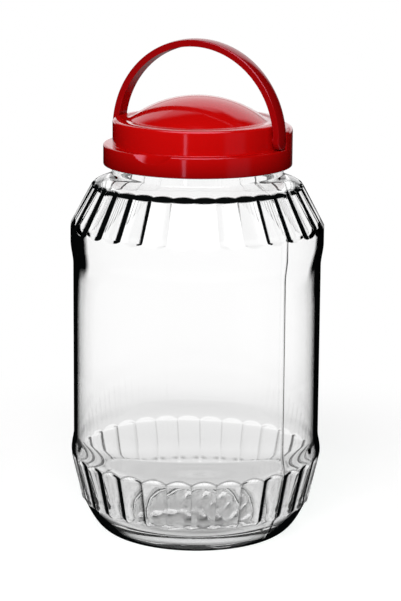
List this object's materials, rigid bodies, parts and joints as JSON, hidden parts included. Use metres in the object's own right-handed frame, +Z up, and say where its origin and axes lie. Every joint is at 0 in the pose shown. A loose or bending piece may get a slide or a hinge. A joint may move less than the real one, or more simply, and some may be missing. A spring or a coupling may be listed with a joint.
{
  "type": "storage jar",
  "caption": "Round clear glass storage jar with a fluted shoulder and heel, a glossy red screw lid with a domed top, and an arched carry handle that folds down onto the lid.",
  "frame": {"origin": "centre of the ring that the jar stands on, at the height of the table", "axes": "+Z up along the jar's axis, X along the handle's hinge, -Y towards the side that the handle folds down to, where the finger scoop is"},
  "size_m": [0.1594, 0.1594, 0.3142],
  "materials": {
    "glass": "fire-polished clear soda-lime glass",
    "lid_red": "glossy moulded polypropylene",
    "handle_red": "glossy moulded polypropylene",
    "liner_white": "smooth foamed polyethylene"
  },
  "bodies": {
    "jar": {"glass_jar": "glass"},
    "liner": {"lid_liner": "liner_white"},
    "lid": {"screw_lid": "lid_red"},
    "handle": {"carry_handle": "handle_red"}
  },
  "joints": [
    {"name": "lid_rise", "type": "slide", "parent": "jar", "child": "liner", "axis": [0, 0, 1], "range_m": [0, 0.024]},
    {"name": "lid_turn", "type": "hinge", "parent": "liner", "child": "lid", "pos_m": [0, 0, 0.2458], "axis": [0, 0, 1], "range_deg": [0, 360]},
    {"name": "handle_fold", "type": "hinge", "parent": "lid", "child": "handle", "pos_m": [0, 0, 0.25445], "axis": [1, 0, 0], "range_deg": [0, 90]}
  ],
  "couplings": [
    {"joint": "lid_rise", "follows": "lid_turn", "m_per_rad": 0.0038197}
  ]
}
